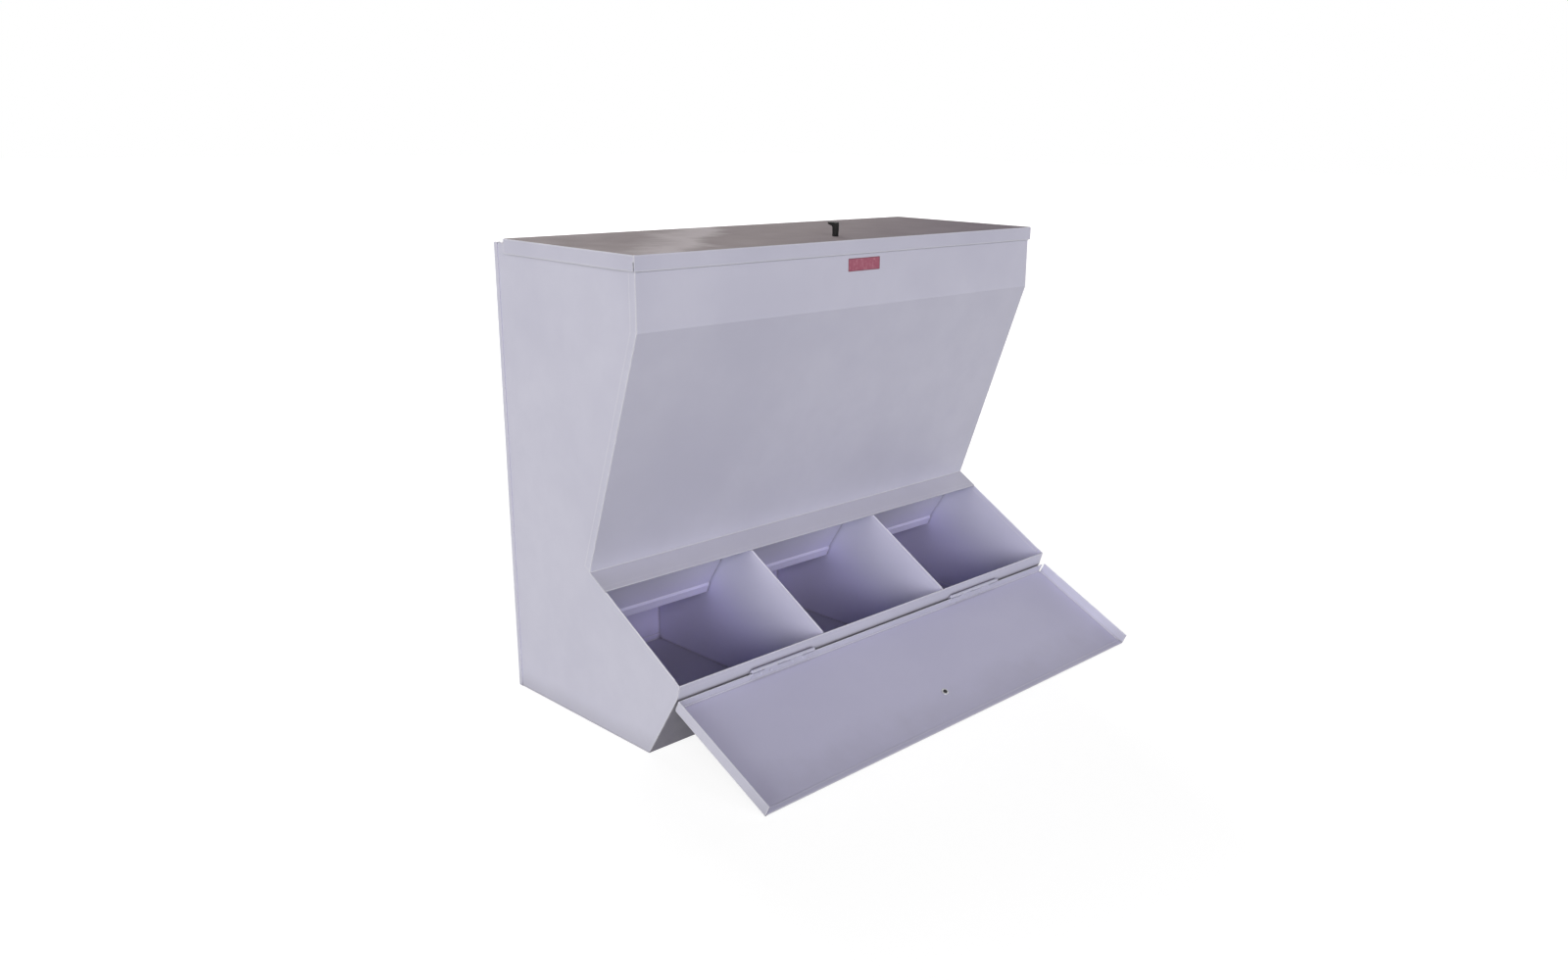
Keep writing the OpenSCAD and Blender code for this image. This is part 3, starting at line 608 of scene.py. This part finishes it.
def screwSurface():
    # heights over a disc: a dome of height (1 - r^2.6)^0.5 with a cross sunk into it where the
    # smaller of |x| and |y| is under the cross's half width; below it the neck and the shank
    s = screwSettings
    angle = np.linspace(0, 2 * np.pi, s["columns"], endpoint=False)
    share = np.linspace(1, 0.004, s["rows"])[:, None]
    x, y = s["head"] * share * np.cos(angle), s["head"] * share * np.sin(angle)
    dome = s["rimHeight"] + (s["headHeight"] - s["rimHeight"]) * np.sqrt(1 - share ** 2.6) + 0 * x
    narrow, wide = np.minimum(np.abs(x), np.abs(y)), np.maximum(np.abs(x), np.abs(y))
    taper = 1 - np.clip(wide / s["crossReach"], 0, 1) ** 3
    cross = s["crossDepth"] * taper / (1 + np.exp((narrow - s["crossWidth"]) * s["crossSharpness"]))
    top = np.stack([x, y, dome - cross], axis=-1)
    inset, bevel = s["tipBevel"]
    neck = [(0.05, -s["length"]), (s["shank"] - inset, -s["length"]),
            (s["shank"], -s["length"] + bevel), (s["shank"], 0), (s["head"], 0)]
    low = turned(neck, s["columns"]) / mm
    return np.concatenate([low, top], axis=0) * mm


washerProfile = [(2.7, 0.0), (8.8, 0.0), (9.0, 0.25), (9.0, 1.2), (8.7, 1.5), (8.2, 1.6),
                 (3.1, 1.6), (2.8, 1.45), (2.7, 1.2)]
panelSheet = 1.2
washerThick = 1.6


def makePulls():
    # on each panel: washer and screw head on the inside, pull on the outside
    side, back, up = np.eye(3)
    lidLow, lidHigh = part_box("lid_pull_washer")
    lidSeat = np.array([0.0, (lidLow.y + lidHigh.y) / 2, lidHigh.z + panelSheet * mm])
    doorLow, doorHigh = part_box("door_pull_washer")
    centre = np.array([0.0, (doorLow.y + doorHigh.y) / 2, (doorLow.z + doorHigh.z) / 2])
    doorSeat = centre + doorFace * (panelSheet + washerThick / 2) * mm
    places = {"lid": (lidSeat, side, back, up), "door": (doorSeat, -side, -doorOut, doorFace)}
    for body, (seat, ax, ay, az) in places.items():
        under = seat - az * (panelSheet + washerThick) * mm
        pull = placed(pullSurface(), [seat], ax, ay, az)
        screw = placed(screwSurface(), [under], ax, -ay, -az)
        washer = placed(turned(washerProfile, 48), [under], ax, ay, az)
        piece = surfacePiece(body + "Pull", pull, plastic, body)
        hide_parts(body + "_pull")
        piece = surfacePiece(body + "PullScrew", screw, blackScrew, body)
        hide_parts(body + "_pull_screw")
        piece = surfacePiece(body + "PullWasher", washer, zinc, body, ringed=True)
        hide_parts(body + "_pull_washer")


plateSettings = {
    "corner": 2.0,
    "leastCorner": 0.3,
    "arcSteps": 7,
    # inset from the outline and height off the band, in mm, from the back to the middle
    "loops": [(0.0, 0.0), (0.0, 0.36), (0.05, 0.46), (0.15, 0.5), (1.3, 0.5), (1.45, 0.44),
              (1.6, 0.32), (1.8, 0.3), (6.0, 0.3)],
}


def makeLabel():
    # a rounded rectangle stepped inwards loop by loop: a pressed plate with a raised border
    low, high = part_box("label_plate")
    halfX, halfZ = (high.x - low.x) / 2 / mm, (high.z - low.z) / 2 / mm
    loops = []
    for inset, height in plateSettings["loops"]:
        a, b = halfX - inset, halfZ - inset
        r = max(plateSettings["corner"] - inset, plateSettings["leastCorner"])
        corners = [(-a, -b), (a, -b), (a, b), (-a, b)]
        line = roundedOutline(corners, [r] * 4, plateSettings["arcSteps"])
        loops.append(np.column_stack([line[:, 0], np.full(len(line), -height), line[:, 1]]))
    middle = np.array([(low.x + high.x) / 2, high.y, (low.z + high.z) / 2])
    plate = (np.array(loops) * mm + middle)[None]
    piece = surfacePiece("labelPlate", plate, labelFace, "cabinet")
    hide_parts("label_plate")


makeRivets()
makeWelds()
makePulls()
makeLabel()
print("details: rivets, welds, pulls, screws, washers and label are made")


stageSettings = {
    "floorReach": 40.0,
    "floorDrop": 0.0005,  # just under the bin
    "floorTone": 0.32,
    "whiteNear": 0.86,  # glow of the floor by the object, where its shadow falls
    "whiteFar": 1.0,
    "glowFrom": 0.9,
    "glowTo": 2.6,
    "skyColour": (0.85, 1.0, 1.3),
    "skyLevel": 0.034,
}

# azimuth from straight ahead towards the left and elevation in degrees, and the power of each soft box
lampSettings = {
    "aimedAt": (0.0, -0.18, 0.5),
    "distance": 32.0,
    "size": 12.8,
    "lamps": {
        "frontLamp": (0.0, 5.0, 2620.0, (0.98, 1.0, 0.78)),
        "keyLamp": (30.0, 20.0, 4350.0, (1.05, 1.0, 1.04)),
        "cornerLamp": (60.0, 5.0, 4500.0, (0.95, 1.0, 0.93)),
        "leftLamp": (90.0, 5.0, 4500.0, (1.03, 1.0, 0.85)),
        "rearLamp": (200.0, 30.0, 5680.0, (1.0, 0.98, 0.96)),
        "rightLamp": (262.0, 6.0, 2500.0, (1.0, 1.0, 0.95)),
    },
}


def seenDirectly(tree):
    # 1 for the camera and for rays through gloss and glass, 0 for the light that falls on the bin
    path = makeNode(tree, "LightPath", {})
    seen = compute(tree, "ADD", path.outputs["Is Camera Ray"], path.outputs["Is Glossy Ray"])
    seen = compute(tree, "ADD", seen, path.outputs["Is Transmission Ray"])
    return compute(tree, "MINIMUM", seen, 1.0)


def paleFloor():
    material = bpy.data.materials.new("paleFloor")
    material.use_nodes = True
    tree = material.node_tree
    tree.nodes.clear()
    level = stageSettings["floorTone"]
    dull = makeNode(tree, "BsdfDiffuse", {"Color": (level, level, level, 1.0)})
    where = makeNode(tree, "TexCoord", {}).outputs["Object"]
    reach = makeNode(tree, "VectorMath", {0: where}, operation="LENGTH").outputs["Value"]
    white = ramp(tree, reach, stageSettings["glowFrom"], stageSettings["glowTo"],
                 stageSettings["whiteNear"], stageSettings["whiteFar"])
    strength = compute(tree, "MULTIPLY", seenDirectly(tree), white)
    glow = makeNode(tree, "Emission", {"Strength": strength})
    total = makeNode(tree, "AddShader", {0: dull.outputs[0], 1: glow.outputs[0]})
    makeNode(tree, "OutputMaterial", {0: total.outputs[0]})
    return material


def makeFloor():
    reach = stageSettings["floorReach"]
    corners = np.array([[-1, -1], [1, -1], [1, 1], [-1, 1]]) * reach
    corners = np.c_[corners, np.full(4, -stageSettings["floorDrop"])]
    mesh = bpy.data.meshes.new("floor")
    mesh.from_pydata(corners.tolist(), [], [(0, 1, 2, 3)])
    mesh.materials.append(paleFloor())
    floor = bpy.data.objects.new("floor", mesh)
    bpy.context.scene.collection.objects.link(floor)


def makeWorld():
    world = bpy.data.worlds.new("softSky")
    bpy.context.scene.world = world
    world.use_nodes = True
    tree = world.node_tree
    tree.nodes.clear()
    sky = (*stageSettings["skyColour"], 1.0)
    dim = makeNode(tree, "Background", {"Color": sky, "Strength": stageSettings["skyLevel"]})
    white = makeNode(tree, "Background", {"Color": (1.0, 1.0, 1.0, 1.0), "Strength": 1.0})
    both = makeNode(tree, "MixShader", {0: seenDirectly(tree), 1: dim.outputs[0], 2: white.outputs[0]})
    makeNode(tree, "OutputWorld", {0: both.outputs[0]})


def lookFrame(azimuth, elevation, lean=0.0):
    # right, up and back directions of what looks at the bin from there, leaning over by lean
    turn, rise, tilt = np.radians([azimuth, elevation, lean])
    back = np.array([-np.sin(turn) * np.cos(rise), -np.cos(turn) * np.cos(rise), np.sin(rise)])
    side = np.cross([0.0, 0.0, 1.0], back)
    side /= np.linalg.norm(side)
    up = np.cross(back, side)
    return side * np.cos(tilt) + up * np.sin(tilt), up * np.cos(tilt) - side * np.sin(tilt), back


def setPlace(thing, right, up, back, place):
    thing.matrix_world = Matrix(np.vstack([np.c_[right, up, back, place], [0, 0, 0, 1]]).tolist())


def softBox(name, azimuth, elevation, power, colour):
    data = bpy.data.lights.new(name, "AREA")
    data.shape = "SQUARE"
    data.size = lampSettings["size"]
    data.energy = power
    data.color = colour
    lamp = bpy.data.objects.new(name, data)
    bpy.context.scene.collection.objects.link(lamp)
    right, up, back = lookFrame(azimuth, elevation)
    place = np.array(lampSettings["aimedAt"]) + lampSettings["distance"] * back
    setPlace(lamp, right, up, back, place)
    lamp.visible_camera = False


cameraSettings = {
    "place": (-2.0922, -2.2050, 1.2500),
    "looksFrom": (46.442, 16.386),  # azimuth and elevation in degrees, as for the lamps
    "lean": 0.989,
    "lens": 29.837,
    "sensor": 36.0,
    "shift": (-0.0409, 0.0111),
    "clip": (0.05, 200.0),
}


def makeCamera():
    data = bpy.data.cameras.new("camera")
    data.sensor_width = cameraSettings["sensor"]
    data.lens = cameraSettings["lens"]
    data.shift_x, data.shift_y = cameraSettings["shift"]
    data.clip_start, data.clip_end = cameraSettings["clip"]
    camera = bpy.data.objects.new("camera", data)
    bpy.context.scene.collection.objects.link(camera)
    axes = lookFrame(*cameraSettings["looksFrom"], cameraSettings["lean"])
    setPlace(camera, *axes, cameraSettings["place"])
    bpy.context.scene.camera = camera


makeFloor()
makeWorld()
for name, settings in lampSettings["lamps"].items():
    softBox(name, *settings)
makeCamera()
bpy.context.scene.view_settings.view_transform = "Standard"
print("stage: floor, sky, lamps and camera are in place")
